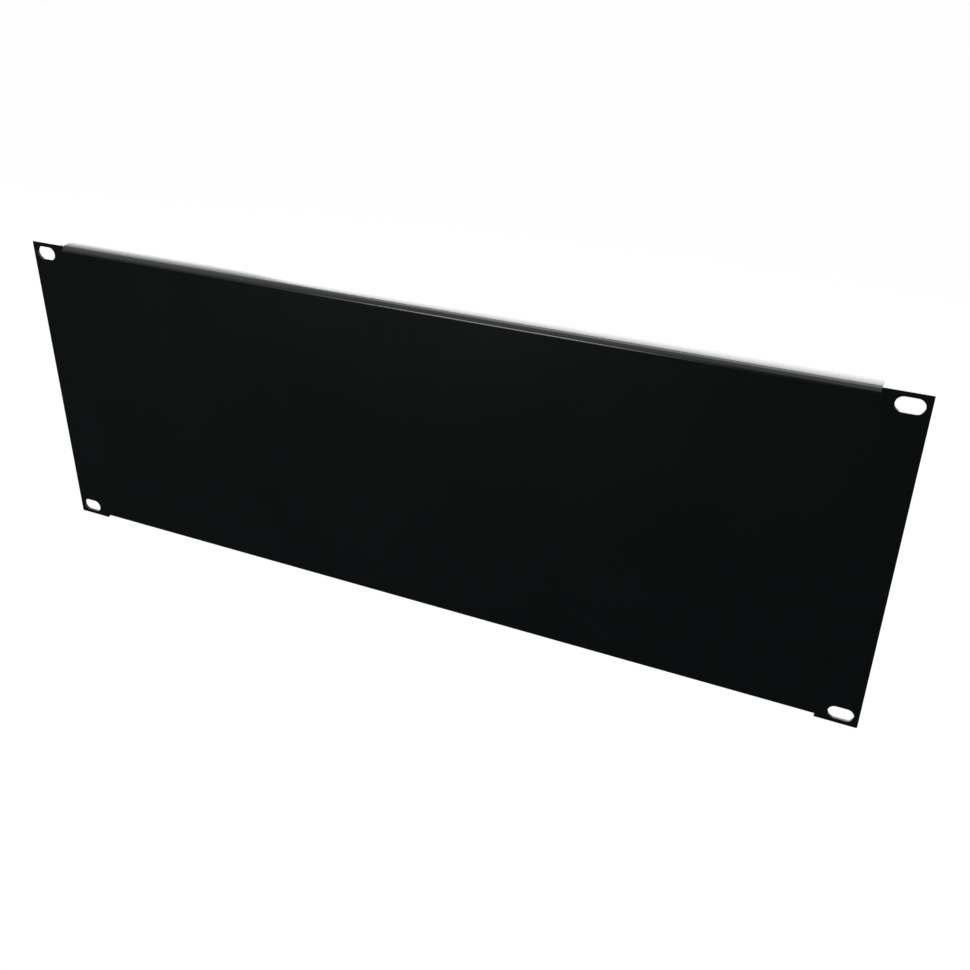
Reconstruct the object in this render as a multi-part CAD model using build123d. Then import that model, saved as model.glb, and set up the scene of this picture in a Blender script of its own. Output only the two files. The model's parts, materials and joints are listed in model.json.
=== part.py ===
from build123d import *
import os

os.makedirs("parts", exist_ok=True)

# The rack that the panel closes, in millimetres
UNIT_HEIGHT = 44.45  # height of one rack unit
RAIL_OPENING = 450.0  # clear width between the two rails
HOLE_INSET = 7.55  # from the opening to the rail's column of holes
HOLE_RISE = 6.35  # from the edge of a rack unit to its outermost hole

# The panel's outline
UNITS = 4  # rack units that the panel covers
NEIGHBOUR_GAP = 0.8  # left free between this panel and its neighbours
EAR_MARGIN = 8.75  # from the column of holes to the panel's side edge
CORNER_RADIUS = 0.8

# The sheet, with its powder coat
SHEET = 1.5
BEND_RADIUS = 1.5  # on the inside of each fold
EDGE_ROUND = 0.15  # coated edges are never quite sharp

# The flanges folded back along the top and bottom edges
FLANGE_DEPTH = 9.0  # from the front face to the flange's free edge
FLANGE_SETBACK = 0.1  # the flange lies this far inside the ears' edge
FLANGE_CLEARANCE = 4.5  # from each flange end to the rail beside it
FLANGE_CORNER = 2.0  # radius at the free edge's two ends

# The slit that frees each fold from the ear beside it
RELIEF_WIDTH = 0.1
RELIEF_RUN = 0.5  # how far the slit runs on past the start of the bend

# The four oblong slots for the rack screws
SLOT_LENGTH = 12.4
SLOT_WIDTH = 7.2

# Sizes that follow: the origin is the slot pattern's centre, on the plane that seats on the rails
PANEL_HEIGHT = UNITS * UNIT_HEIGHT - NEIGHBOUR_GAP
HOLE_COLUMNS = RAIL_OPENING + 2 * HOLE_INSET
HOLE_ROWS = UNITS * UNIT_HEIGHT - 2 * HOLE_RISE
PANEL_WIDTH = HOLE_COLUMNS + 2 * EAR_MARGIN
FLANGE_LENGTH = RAIL_OPENING - 2 * FLANGE_CLEARANCE
OUTER_BEND = BEND_RADIUS + SHEET
FLANGE_TOP = PANEL_HEIGHT / 2 - FLANGE_SETBACK
BEND_START = FLANGE_TOP - OUTER_BEND


def sheet_blank():
    """The flat sheet with its screw slots, every cut edge rounded by the coat."""
    outline = RectangleRounded(PANEL_WIDTH, PANEL_HEIGHT, CORNER_RADIUS)
    for rail_hole in GridLocations(HOLE_COLUMNS, HOLE_ROWS, 2, 2):
        outline -= rail_hole * SlotOverall(SLOT_LENGTH, SLOT_WIDTH)
    blank = extrude(Plane.XZ * outline, SHEET)
    rims = blank.edges().filter_by(lambda edge: abs(edge.center().Y + SHEET / 2) > SHEET / 4)
    return fillet(rims, EDGE_ROUND)


def fold_strip():
    """The strip of the flat sheet that the top fold takes up."""
    rise = PANEL_HEIGHT / 2 - BEND_START
    return Pos(0, -SHEET / 2, BEND_START + rise) * Box(FLANGE_LENGTH, 2 * SHEET, 2 * rise)


def relief_slit():
    """A saw-thin slit at the top fold's right end, with a round bottom."""
    bottom = BEND_START - RELIEF_RUN + RELIEF_WIDTH / 2
    rise = PANEL_HEIGHT / 2 - bottom
    middle = FLANGE_LENGTH / 2 + RELIEF_WIDTH / 2
    outline = Pos(middle, bottom + rise) * Rectangle(RELIEF_WIDTH, 2 * rise)
    outline += Pos(middle, bottom) * Circle(RELIEF_WIDTH / 2)
    return extrude(Plane.XZ * outline, 2 * SHEET, both=True)


def fold():
    """The top fold: a quarter bend and the flange behind it, its corners and cut edges rounded."""
    tip = FLANGE_DEPTH - SHEET
    centre = (BEND_RADIUS, BEND_START)
    outer = CenterArc(centre, OUTER_BEND, 90, 90)
    inner = CenterArc(centre, BEND_RADIUS, 90, 90)
    free_edge = Polyline(
        (BEND_RADIUS, FLANGE_TOP),
        (tip, FLANGE_TOP),
        (tip, FLANGE_TOP - SHEET),
        (BEND_RADIUS, FLANGE_TOP - SHEET),
    )
    root = Line((-SHEET, BEND_START), (0, BEND_START))
    section = Plane.YZ * make_face([outer, free_edge, inner, root])
    folded = extrude(section, FLANGE_LENGTH / 2, both=True)
    corners = folded.edges().filter_by(Axis.Z).group_by(Axis.Y)[-1]
    folded = fillet(corners, FLANGE_CORNER)
    rims = folded.edges().filter_by(Axis.X).group_by(Axis.Y)[-1]
    return fillet(rims, EDGE_ROUND)


def blanking_panel():
    """The whole panel: the blank with its folds in place of their strips, and its slits."""
    right_slit = relief_slit()
    left_slit = mirror(right_slit, about=Plane.YZ)
    top_cuts = fold_strip() + right_slit + left_slit
    top_fold = fold()
    panel = sheet_blank() - top_cuts - mirror(top_cuts, about=Plane.XY)
    return panel + top_fold + mirror(top_fold, about=Plane.XY)


panel = blanking_panel()
panel.label = "blank_panel"
export_step(panel, "parts/blank_panel.step")
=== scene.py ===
import json
from math import cos, pi, radians, sin

import bmesh
import bpy
from mathutils import Matrix, Vector


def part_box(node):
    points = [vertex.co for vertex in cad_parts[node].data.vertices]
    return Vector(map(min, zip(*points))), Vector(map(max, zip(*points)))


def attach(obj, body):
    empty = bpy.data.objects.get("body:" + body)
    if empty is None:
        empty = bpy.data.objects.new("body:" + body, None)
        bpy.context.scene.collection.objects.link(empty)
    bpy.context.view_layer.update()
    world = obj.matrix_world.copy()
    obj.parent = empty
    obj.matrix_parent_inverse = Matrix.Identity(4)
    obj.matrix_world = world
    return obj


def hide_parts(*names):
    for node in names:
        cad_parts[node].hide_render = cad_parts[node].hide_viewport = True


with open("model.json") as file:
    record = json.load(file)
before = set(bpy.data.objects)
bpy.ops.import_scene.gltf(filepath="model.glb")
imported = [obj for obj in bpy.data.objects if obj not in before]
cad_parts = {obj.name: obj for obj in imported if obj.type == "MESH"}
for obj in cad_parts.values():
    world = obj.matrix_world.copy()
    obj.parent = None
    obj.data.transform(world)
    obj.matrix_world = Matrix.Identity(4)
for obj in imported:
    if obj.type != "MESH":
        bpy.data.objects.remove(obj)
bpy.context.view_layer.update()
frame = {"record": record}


# The powder coat: satin black epoxy dust that was sprayed on the bare steel and baked to a skin.
# It flows together a little in the oven, which leaves fine orange peel all over, a slow change of
# gloss from place to place, and edges that are never quite sharp.

COAT_BLACK = (0.0018, 0.0032, 0.0033)
COAT_SHADE = 0.15  # how much paler or deeper the black is from place to place, as a share
COAT_GLOSS_DULL = 0.25  # roughness where the coat dried dull
COAT_GLOSS_BRIGHT = 0.18  # and where it flowed out smooth
CLOUD_SIZE = 0.060  # metres from one dull patch to the next
PEEL_SIZE = 0.0011  # from one swell of the orange peel to the next
PEEL_HEIGHT = 0.000006
GRAIN_SIZE = 0.00025  # the dust's own grain, finer still
GRAIN_HEIGHT = 0.0000012


class Term:
    """A socket of a node tree. Arithmetic on it adds the Math nodes that work out the result."""

    def __init__(self, tree, socket=None):
        self.tree = tree
        self.socket = socket

    def node(self, kind, settings, sockets):
        """A new node, its settings set first and then its sockets' values or links."""
        node = self.tree.nodes.new(kind)
        for name, setting in settings.items():
            setattr(node, name, setting)
        for name, value in sockets.items():
            if isinstance(value, Term):
                self.tree.links.new(value.socket, node.inputs[name])
            else:
                node.inputs[name].default_value = value
        return node

    def output(self, kind, settings, sockets, name=0):
        """One output of such a node, as a term of its own."""
        return Term(self.tree, self.node(kind, settings, sockets).outputs[name])

    def maths(self, operation, *values):
        return self.output("ShaderNodeMath", {"operation": operation}, dict(enumerate(values)))

    def __add__(self, other):
        return self.maths("ADD", self, other)

    def __radd__(self, other):
        return self.maths("ADD", other, self)

    def __sub__(self, other):
        return self.maths("SUBTRACT", self, other)

    def __rsub__(self, other):
        return self.maths("SUBTRACT", other, self)

    def __mul__(self, other):
        return self.maths("MULTIPLY", self, other)

    def __rmul__(self, other):
        return self.maths("MULTIPLY", other, self)

    def __truediv__(self, other):
        return self.maths("DIVIDE", self, other)

    def __lt__(self, other):
        return self.maths("LESS_THAN", self, other)


def new_material(name):
    """An empty material and the term that its nodes start from."""
    material = bpy.data.materials.new(name)
    material.use_nodes = True
    material.node_tree.nodes.clear()
    return material, Term(material.node_tree)


def powder_coat():
    """The coat's finish: a cloudy black and gloss, with fine relief."""
    material, coat = new_material("powder_coat")
    place = coat.output("ShaderNodeTexCoord", {}, {}, "Object")

    def noise(size, detail):
        return coat.output(
            "ShaderNodeTexNoise", {}, {"Vector": place, "Scale": 1 / size, "Detail": detail}, "Fac"
        )

    clouds = noise(CLOUD_SIZE, 3)
    relief = noise(PEEL_SIZE, 2) * PEEL_HEIGHT + noise(GRAIN_SIZE, 1) * GRAIN_HEIGHT
    colour = coat.output(
        "ShaderNodeMix",
        {"data_type": "RGBA"},
        {
            "Factor": clouds,
            "A": (*((1 - COAT_SHADE) * part for part in COAT_BLACK), 1),
            "B": (*((1 + COAT_SHADE) * part for part in COAT_BLACK), 1),
        },
        "Result",
    )
    skin = coat.output(
        "ShaderNodeBsdfPrincipled",
        {},
        {
            "Base Color": colour,
            "Roughness": clouds * (COAT_GLOSS_DULL - COAT_GLOSS_BRIGHT) + COAT_GLOSS_BRIGHT,
            "Normal": coat.output("ShaderNodeBump", {}, {"Height": relief, "Distance": 1.0}),
        },
    )
    coat.node("ShaderNodeOutputMaterial", {}, {"Surface": skin})
    return material


# The blank: one sheet of cold-rolled steel, 1.5 mm thick, cut flat by laser. The cut makes the
# outline, the four oblong slots for the rack screws, and a thin slit beside each end of both
# flanges, so that the flange can be folded without pulling the ear along.

low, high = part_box("blank_panel")
slots = next(m for m in frame["record"]["mounts"] if m["name"] == "rack_slots")["dims"]

MM = 0.001
SHEET = -low.y  # the rear face lies at y = 0
HALF_WIDTH = high.x
HALF_HEIGHT = high.z
EAR_CORNER = 0.8 * MM
COAT_ROUND = 0.15 * MM  # what the coat rounds off every cut edge

FLANGE_EDGE = high.y  # the flange's free edge, behind the rear face
FLANGE_HALF = 220.5 * MM
FLANGE_SETBACK = 0.1 * MM  # the folded flange lies this far inside the ears' edge
FLANGE_CORNER = 2.0 * MM

BEND_RADIUS = 1.5 * MM  # on the inside
BEND_ANGLE = radians(84)  # the flange's own slight curve makes up the rest of the right angle
FLANGE_RADIUS = BEND_RADIUS + (FLANGE_EDGE - BEND_RADIUS) / cos(BEND_ANGLE)
BEND_RISE = BEND_RADIUS * sin(BEND_ANGLE) + FLANGE_RADIUS * (1 - sin(BEND_ANGLE))
BEND_START = HALF_HEIGHT - FLANGE_SETBACK - SHEET - BEND_RISE
NEUTRAL_DEPTH = 0.45  # the layer that keeps its length in the fold, as a share of the sheet
BEND_LENGTH = (BEND_RADIUS + NEUTRAL_DEPTH * SHEET) * BEND_ANGLE
FLANGE_LENGTH = (FLANGE_RADIUS + NEUTRAL_DEPTH * SHEET) * (pi / 2 - BEND_ANGLE)
FLAT_TOP = BEND_START + BEND_LENGTH + FLANGE_LENGTH

SLIT_WIDTH = 0.02 * MM  # what the coat leaves of a cut 0.1 mm wide
SLIT_MIDDLE = FLANGE_HALF + SLIT_WIDTH / 2
SLIT_RUN = 0.5 * MM  # how far the slit runs on past the start of the bend
SLIT_MOUTH = 0.2 * MM  # radius of the ear's corner beside the slit

ARC_STEPS = 10  # along each corner of an outline
ROUND_STEPS = 2  # between the two ends of a coated edge's rounding
COLUMN = 20 * MM  # the mesh is cut into cells of about this width
ROW = 20 * MM  # and height
BEND_ROWS = 18
FLANGE_ROWS = 6
MERGE = 0.003 * MM  # points of the mesh nearer than this are one
TOUCH = 0.0001 * MM  # and so are points of an outline nearer than this
SQUARE_ON = 0.9999  # the least that a flat face's normal points forwards or backwards


def rounded(corners):
    """The closed ring of points round right-angled corners, each given as its place and radius."""
    ring = []
    for index, (corner, radius) in enumerate(corners):
        arriving = (corner - corners[index - 1][0]).normalized()
        leaving = (corners[(index + 1) % len(corners)][0] - corner).normalized()
        centre = corner + (leaving - arriving) * radius
        for step in range(ARC_STEPS + 1):
            turn = pi / 2 * step / ARC_STEPS
            point = centre + (arriving * sin(turn) - leaving * cos(turn)) * radius
            if not ring or (point - ring[-1]).length > TOUCH:
                ring.append(point)
    if (ring[0] - ring[-1]).length < TOUCH:
        ring.pop()
    return ring


def blank_outline():
    """The outline's corners, one quarter of them mirrored into the other three."""
    ear_start = FLANGE_HALF + SLIT_WIDTH
    slit_end = BEND_START - SLIT_RUN
    quarter = [
        (FLANGE_HALF, FLAT_TOP, FLANGE_CORNER),
        (FLANGE_HALF, slit_end, SLIT_WIDTH / 2),
        (ear_start, slit_end, SLIT_WIDTH / 2),
        (ear_start, HALF_HEIGHT, SLIT_MOUTH),
        (HALF_WIDTH, HALF_HEIGHT, EAR_CORNER),
    ]
    corners = []
    for side, up in ((1, 1), (1, -1), (-1, -1), (-1, 1)):
        mirrored = [(Vector((side * x, up * z)), radius) for x, z, radius in quarter]
        corners += mirrored if side == up else reversed(mirrored)
    return rounded(corners)


def slot_outline(column, row):
    """A screw slot's outline: a straight run with a half circle at each end."""
    middle = Vector((column * slots["spacing_x_mm"], row * slots["spacing_y_mm"])) * MM / 2
    length = slots["slot_length_mm"] * MM
    radius = slots["hole_r_mm"] * MM
    reach = ((length / 2, radius), (length / 2, -radius), (-length / 2, -radius), (-length / 2, radius))
    return rounded([(middle + Vector(corner), radius) for corner in reach])


def cut_blank():
    """The flat blank as a closed mesh with its front at y = -SHEET and every cut edge rounded."""
    outline = bpy.data.curves.new("blank_outline", "CURVE")
    outline.dimensions = "2D"
    outline.fill_mode = "BOTH"
    outline.offset = -COAT_ROUND
    outline.bevel_depth = COAT_ROUND
    outline.bevel_resolution = ROUND_STEPS
    outline.extrude = SHEET / 2 - COAT_ROUND
    rings = [blank_outline()]
    rings += [slot_outline(column, row) for column in (-1, 1) for row in (-1, 1)]
    for ring in rings:
        spline = outline.splines.new("POLY")
        spline.points.add(len(ring) - 1)
        for point, place in zip(spline.points, ring):
            point.co = (*place, 0, 1)
        spline.use_cyclic_u = True
    shape = bpy.data.objects.new("blank_outline", outline)
    bpy.context.scene.collection.objects.link(shape)
    mesh = bpy.data.meshes.new_from_object(shape)
    bpy.data.objects.remove(shape)
    bpy.data.curves.remove(outline)
    mesh.transform(Matrix.Translation((0, -SHEET / 2, 0)) @ Matrix.Rotation(pi / 2, 4, "X"))
    return mesh


def both_sides(lines):
    """The lines and their mirror images, in order."""
    return sorted({side * line for line in lines for side in (-1, 1)})


def cells(mesh):
    """Cuts the blank's mesh along a grid, fine where it will bend, and drops all other seams."""
    across = int(HALF_WIDTH // COLUMN) + 1
    columns = [HALF_WIDTH * step / across for step in range(across)]
    columns = both_sides(columns + [slots["spacing_x_mm"] * MM / 2])
    up = int(BEND_START // ROW) + 1
    rows = [BEND_START * step / up for step in range(up + 1)]
    rows = both_sides(rows + [slots["spacing_y_mm"] * MM / 2])
    folded = [BEND_LENGTH * (row + 1) / BEND_ROWS for row in range(BEND_ROWS)]
    folded += [BEND_LENGTH + FLANGE_LENGTH * row / FLANGE_ROWS for row in range(1, FLANGE_ROWS)]
    fold_rows = both_sides(BEND_START + row for row in folded)
    shape = bmesh.new()
    shape.from_mesh(mesh)
    bmesh.ops.remove_doubles(shape, verts=shape.verts, dist=MERGE)

    def cut(axis, line, reach):
        faces = [face for face in shape.faces if abs(face.calc_center_median().x) < reach]
        edges = dict.fromkeys(edge for face in faces for edge in face.edges)
        points = dict.fromkeys(point for edge in edges for point in edge.verts)
        normal = Vector([int(index == axis) for index in range(3)])
        geometry = [*points, *edges, *faces]
        bmesh.ops.bisect_plane(shape, geom=geometry, dist=MERGE, plane_co=normal * line, plane_no=normal)

    cuts = [(0, line, HALF_WIDTH) for line in columns]
    cuts += [(2, line, HALF_WIDTH) for line in rows]
    cuts += [(2, line, SLIT_MIDDLE) for line in fold_rows]
    for axis, line, reach in cuts:
        cut(axis, line, reach)

    def flat(face):
        return abs(face.normal.y) > SQUARE_ON or face.calc_area() < MERGE**2

    def on_a_cut(edge):
        for axis, line, reach in cuts:
            if all(abs(point.co[axis] - line) < MERGE for point in edge.verts):
                return True
        return False

    seams = [edge for edge in shape.edges if all(map(flat, edge.link_faces)) and not on_a_cut(edge)]
    bmesh.ops.dissolve_edges(shape, edges=seams, use_verts=True)
    bmesh.ops.recalc_face_normals(shape, faces=shape.faces)
    for face in shape.faces:
        face.smooth = True
    shape.to_mesh(mesh)
    shape.free()


# The folds: a press brake presses each long edge into a vee, so that it stands out behind the face
# as a flange. The flange is so short that it keeps a slight curve from the vee. The outside of the
# bend stretches, the inside is squeezed, and only the neutral layer keeps its length.


def fold_rule():
    """A node tree that folds what lies between the slits back: a tight bend, then a slight one."""
    tree = bpy.data.node_groups.new("press_brake_fold", "GeometryNodeTree")
    tree.interface.new_socket("Geometry", in_out="INPUT", socket_type="NodeSocketGeometry")
    tree.interface.new_socket("Geometry", in_out="OUTPUT", socket_type="NodeSocketGeometry")
    sizes = ("Bend Start", "Bend Radius", "Bend Length", "Bend Angle", "Flange Radius", "Flange Length")
    for name in (*sizes, "Half Length"):
        tree.interface.new_socket(name, in_out="INPUT", socket_type="NodeSocketFloat")
    tree.interface.new_socket("Material", in_out="INPUT", socket_type="NodeSocketMaterial")
    fold = Term(tree)
    given = fold.node("NodeGroupInput", {}, {})
    start, radius, length, angle, flange_radius, flange_length = (
        Term(tree, given.outputs[name]) for name in sizes
    )
    place = fold.output("GeometryNodeInputPosition", {}, {})
    parts = fold.node("ShaderNodeSeparateXYZ", {}, {0: place})
    x, y, z = (Term(tree, part) for part in parts.outputs)
    height = z.maths("ABSOLUTE", z)
    past = (height - start).maths("MAXIMUM", height - start, 0.0)
    turn = past.maths("MINIMUM", past / length, 1.0) * angle
    along = past.maths("MAXIMUM", past - length, 0.0) / flange_length
    sweep = turn + along * (pi / 2 - angle)
    reach = radius - y
    flange_reach = flange_radius - y
    cosines = [part.maths("COSINE", part) for part in (turn, sweep)]
    sines = [part.maths("SINE", part) for part in (turn, sweep)]
    depth = radius - reach * cosines[0] - flange_reach * (cosines[1] - cosines[0])
    foot = height.maths("MINIMUM", height, start)
    rise = foot + reach * sines[0] + flange_reach * (sines[1] - sines[0])
    folded = fold.output(
        "ShaderNodeCombineXYZ", {}, {"X": x, "Y": depth, "Z": rise * z.maths("SIGN", z)}
    )
    between_slits = x.maths("ABSOLUTE", x) < Term(tree, given.outputs["Half Length"])
    moved = fold.output(
        "GeometryNodeSetPosition",
        {},
        {
            "Geometry": Term(tree, given.outputs["Geometry"]),
            "Selection": between_slits,
            "Position": folded,
        },
    )
    whole = fold.output("GeometryNodeRealizeInstances", {}, {"Geometry": moved})
    coated = fold.output(
        "GeometryNodeSetMaterial",
        {},
        {"Geometry": whole, "Material": Term(tree, given.outputs["Material"])},
    )
    fold.node("NodeGroupOutput", {}, {"Geometry": coated})
    return tree


def give(modifier, values):
    """Sets a nodes modifier's inputs by their names."""
    for item in modifier.node_group.interface.items_tree:
        if item.in_out == "INPUT" and item.name in values:
            modifier[item.identifier] = values[item.name]


def flat_shading(mesh):
    """Gives each corner its largest face's normal, so that flat faces stay flat up to their rims."""
    normals = [Vector() for _ in mesh.vertices]
    for face in mesh.polygons:
        for index in face.vertices:
            normals[index] += face.normal * (face.area / MM**2) ** 2
    mesh.normals_split_custom_set_from_vertices([normal.normalized() for normal in normals])


def folded_panel(material):
    """The finished panel: the blank folded by the rule, smooth shaded with flat faces kept flat."""
    mesh = cut_blank()
    cells(mesh)
    panel = bpy.data.objects.new("folded_panel", mesh)
    bpy.context.scene.collection.objects.link(panel)
    fold = panel.modifiers.new("press_brake", "NODES")
    fold.node_group = fold_rule()
    give(
        fold,
        {
            "Bend Start": BEND_START,
            "Bend Radius": BEND_RADIUS,
            "Bend Length": BEND_LENGTH,
            "Bend Angle": BEND_ANGLE,
            "Flange Radius": FLANGE_RADIUS,
            "Flange Length": FLANGE_LENGTH,
            "Half Length": SLIT_MIDDLE,
            "Material": material,
        },
    )
    seen = panel.evaluated_get(bpy.context.evaluated_depsgraph_get())
    finished = bpy.data.meshes.new_from_object(seen)
    panel.modifiers.clear()
    panel.data = finished
    bpy.data.meshes.remove(mesh)
    flat_shading(finished)
    return panel


panel = folded_panel(powder_coat())
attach(panel, "root")
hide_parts("blank_panel")


# The studio: a plain white floor and surround, two soft lamps behind the panel that light the
# flange, one above it that lights the bend, and two weak ones in front. A black card lies below
# and a black drape hangs in front: only reflections see them, and they keep the face black.

FLOOR_LEVEL = low.z - 0.30
FLOOR_REACH = 12.0
FLOOR_COLOUR = (0.85, 0.85, 0.85)
FLOOR_ROUGHNESS = 0.9
WHITE_SHARE = 0.98  # how much of the floor's white doesn't depend on the light that reaches it
SURROUND_LIGHT = 0.6  # what the surround sheds on the panel

CARD_BLACK = (0.004, 0.005, 0.005)
CARD_LEVEL = low.z - 0.20
CARD_REACH = 8.0  # to either side
CARD_FRONT = -3.0
CARD_BACK = 0.5
DRAPE_TOP = 1.3


def seen_directly(term):
    """1 for the rays from the camera, also by way of a mirror or through glass."""
    path = term.node("ShaderNodeLightPath", {}, {})
    camera, glossy, through = (
        Term(term.tree, path.outputs[name])
        for name in ("Is Camera Ray", "Is Glossy Ray", "Is Transmission Ray")
    )
    rays = camera.maths("MAXIMUM", camera, glossy)
    return rays.maths("MAXIMUM", rays, through)


def board(name, near, far, material):
    """A flat rectangle of the studio, from its near left corner to its far right one."""
    corners = [near, (far[0], near[1], near[2]), far, (near[0], far[1], far[2])]
    mesh = bpy.data.meshes.new(name)
    mesh.from_pydata(corners, [], [range(len(corners))])
    mesh.materials.append(material)
    made = bpy.data.objects.new(name, mesh)
    bpy.context.scene.collection.objects.link(made)
    return made


def floor_material():
    """Matt white that shows as plain white and still takes a little of the panel's shadow."""
    material, floor = new_material("floor_white")
    lit = floor.output(
        "ShaderNodeBsdfPrincipled",
        {},
        {"Base Color": (*FLOOR_COLOUR, 1), "Roughness": FLOOR_ROUGHNESS},
    )
    white = floor.output("ShaderNodeEmission", {}, {"Color": (1, 1, 1, 1), "Strength": 1.0})
    mixed = floor.output(
        "ShaderNodeMixShader", {}, {0: seen_directly(floor) * WHITE_SHARE, 1: lit, 2: white}
    )
    floor.node("ShaderNodeOutputMaterial", {}, {"Surface": mixed})
    return material


def card_material():
    """Black felt."""
    material, card = new_material("card_black")
    felt = card.output(
        "ShaderNodeBsdfPrincipled", {}, {"Base Color": (*CARD_BLACK, 1), "Roughness": 1.0}
    )
    card.node("ShaderNodeOutputMaterial", {}, {"Surface": felt})
    return material


near_left = (-FLOOR_REACH, -FLOOR_REACH, FLOOR_LEVEL)
board("floor", near_left, (FLOOR_REACH, FLOOR_REACH, FLOOR_LEVEL), floor_material())

near_left = (-CARD_REACH, CARD_FRONT, CARD_LEVEL)
felt = card_material()
card = board("black_card", near_left, (CARD_REACH, CARD_BACK, CARD_LEVEL), felt)
drape = board("black_drape", near_left, (CARD_REACH, CARD_FRONT, DRAPE_TOP), felt)
for black in (card, drape):
    black.visible_camera = False
    black.visible_diffuse = False
    black.visible_shadow = False

world = bpy.data.worlds.new("surround")
world.use_nodes = True
world.node_tree.nodes.clear()
surround = Term(world.node_tree)
direct = seen_directly(surround)
air = surround.output(
    "ShaderNodeBackground",
    {},
    {"Color": (1, 1, 1, 1), "Strength": direct * (1 - SURROUND_LIGHT) + SURROUND_LIGHT},
)
surround.node("ShaderNodeOutputWorld", {}, {"Surface": air})
bpy.context.scene.world = world


def softbox(name, place, aim, width, height, power):
    """A large rectangular lamp at a place, turned to face what it is aimed at."""
    lamp = bpy.data.lights.new(name, "AREA")
    lamp.shape = "RECTANGLE"
    lamp.size = width
    lamp.size_y = height
    lamp.energy = power
    made = bpy.data.objects.new(name, lamp)
    made.location = place
    made.visible_camera = False
    made.rotation_euler = (Vector(aim) - Vector(place)).to_track_quat("-Z", "Y").to_euler()
    bpy.context.scene.collection.objects.link(made)


softbox(
    "back_left_softbox",
    place=(-1.60, 1.45, 0.50), aim=(-1.60, 0, 0), width=1.1, height=0.58, power=9.0,
)
softbox(
    "back_right_softbox",
    place=(-0.225, 1.45, 0.60), aim=(-0.225, 0, 0.05), width=1.75, height=0.80, power=26,
)
softbox(
    "top_softbox",
    place=(0.35, 0.35, 1.3), aim=(0.35, 0, 0.08), width=2.2, height=0.8, power=14.5,
)
softbox(
    "front_softbox",
    place=(-0.53, -1.47, 0.11), aim=(0.05, 0, 0.087), width=0.50, height=0.36, power=5.2,
)
softbox(
    "front_left_softbox",
    place=(-1.30, -1.30, 0.14), aim=(-0.15, 0, 0.087), width=1.0, height=0.55, power=0.8,
)


# The camera: it stands in front of the panel's right half, above its top edge, looks down at the
# middle and leans a little to one side, as the photograph shows.

EYE = Vector((0.23573, -0.44549, 0.26906))
AIM = Vector((0.03765, -0.00150, 0.00150))
LEAN = radians(0.852)
LENS = 40.10  # millimetres, as is the sensor's width
SENSOR = 36.0
SHIFT = (0.0069, -0.0066)  # how far the picture's middle lies off the lens's, as shares of its width

lens = bpy.data.cameras.new("camera")
lens.lens = LENS
lens.sensor_width = SENSOR
lens.shift_x, lens.shift_y = SHIFT
camera = bpy.data.objects.new("camera", lens)
camera.matrix_world = (
    Matrix.Translation(EYE)
    @ (AIM - EYE).to_track_quat("-Z", "Y").to_matrix().to_4x4()
    @ Matrix.Rotation(LEAN, 4, "Z")
)
bpy.context.scene.collection.objects.link(camera)
bpy.context.scene.camera = camera

bpy.context.scene.view_settings.view_transform = "Standard"
